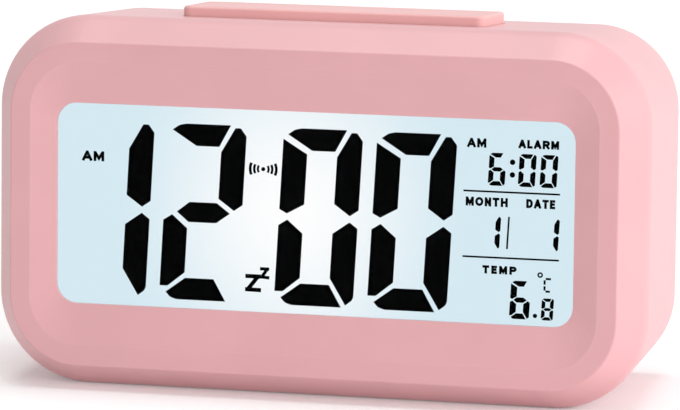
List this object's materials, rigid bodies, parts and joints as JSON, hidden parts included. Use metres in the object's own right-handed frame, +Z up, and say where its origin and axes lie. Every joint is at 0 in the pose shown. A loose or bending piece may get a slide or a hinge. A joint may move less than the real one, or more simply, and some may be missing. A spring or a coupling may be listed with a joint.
{
  "type": "digital alarm clock",
  "caption": "Leaning rounded-box digital alarm clock with a large lit display in a dished front, a snooze bar on top, and keys, a slide switch and a battery door on the back.",
  "frame": {"origin": "middle of the flat underside that the clock stands on", "axes": "+Z up from that underside, +X to the right of someone facing the display, which looks to -Y"},
  "size_m": [0.1348, 0.0499, 0.0767],
  "materials": {
    "case": "satin moulded plastic, pale pink",
    "bar": "satin moulded plastic, pale pink",
    "keys": "satin moulded plastic, pale pink",
    "clear": "clear acrylic",
    "display_glass": "thin display glass",
    "film": "thin optical film",
    "ink": "dark display strokes",
    "resin": "black resin",
    "board": "green printed board",
    "steel": "plated steel",
    "white_plastic": "white moulded plastic",
    "black_plastic": "black moulded plastic",
    "zebra": "layered silicone rubber",
    "can": "sleeved metal can",
    "red_wire": "red insulation",
    "black_wire": "black insulation",
    "pale_wire": "pale insulation"
  },
  "bodies": {
    "case": {"front_bezel": "case", "rear_housing": "case", "window_lens": "clear", "case_screws": "steel", "front_polarizer": "film", "front_glass": "display_glass", "display_segments": "ink", "display_seal": "resin", "rear_glass": "display_glass", "rear_polarizer": "film", "diffuser_film": "film", "light_guide": "clear", "reflector_film": "film", "backlight_board": "board", "backlight_lamps": "white_plastic", "zebra_strip": "zebra", "display_frame": "white_plastic", "display_screws": "steel", "main_board": "board", "board_screws": "steel", "clock_chip": "resin", "clock_crystal": "steel", "capacitors": "can", "thermistor": "resin", "snooze_board": "board", "snooze_board_screws": "steel", "snooze_switch": "black_plastic", "key_board": "board", "key_board_screws": "steel", "key_switches": "black_plastic", "alarm_switch": "steel", "buzzer": "black_plastic", "cells": "can", "contact_plates": "steel", "contact_springs": "steel", "positive_lead": "red_wire", "negative_lead": "black_wire", "buzzer_leads": "red_wire", "snooze_leads": "pale_wire", "key_cable": "pale_wire"},
    "snooze": {"snooze_bar": "bar", "snooze_plunger": "white_plastic"},
    "mode_key": {"mode_button": "keys", "mode_plunger": "white_plastic"},
    "set_key": {"set_button": "keys", "set_plunger": "white_plastic"},
    "up_key": {"up_button": "keys", "up_plunger": "white_plastic"},
    "down_key": {"down_button": "keys", "down_plunger": "white_plastic"},
    "alarm_slider": {"alarm_lever": "black_plastic", "alarm_knob": "white_plastic"},
    "door": {"battery_door": "case"}
  },
  "joints": [
    {"name": "snooze_press", "type": "slide", "parent": "case", "child": "snooze", "axis": [0, -0.0819, -0.9966], "range_m": [0, 0.001], "stiffness_N_per_m": 800, "springref_m": -0.0005},
    {"name": "mode_press", "type": "slide", "parent": "case", "child": "mode_key", "axis": [0, -0.9989, 0.0471], "range_m": [0, 0.0006], "stiffness_N_per_m": 1500, "springref_m": -0.0002},
    {"name": "set_press", "type": "slide", "parent": "case", "child": "set_key", "axis": [0, -0.9989, 0.0471], "range_m": [0, 0.0006], "stiffness_N_per_m": 1500, "springref_m": -0.0002},
    {"name": "up_press", "type": "slide", "parent": "case", "child": "up_key", "axis": [0, -0.9989, 0.0471], "range_m": [0, 0.0006], "stiffness_N_per_m": 1500, "springref_m": -0.0002},
    {"name": "down_press", "type": "slide", "parent": "case", "child": "down_key", "axis": [0, -0.9989, 0.0471], "range_m": [0, 0.0006], "stiffness_N_per_m": 1500, "springref_m": -0.0002},
    {"name": "alarm_slide", "type": "slide", "parent": "case", "child": "alarm_slider", "axis": [1, 0, 0], "range_m": [0, 0.004]},
    {"name": "door_swing", "type": "hinge", "parent": "case", "child": "door", "pos_m": [0, 0.01967, 0.00366], "axis": [-1, 0, 0], "range_deg": [0, 70]}
  ]
}
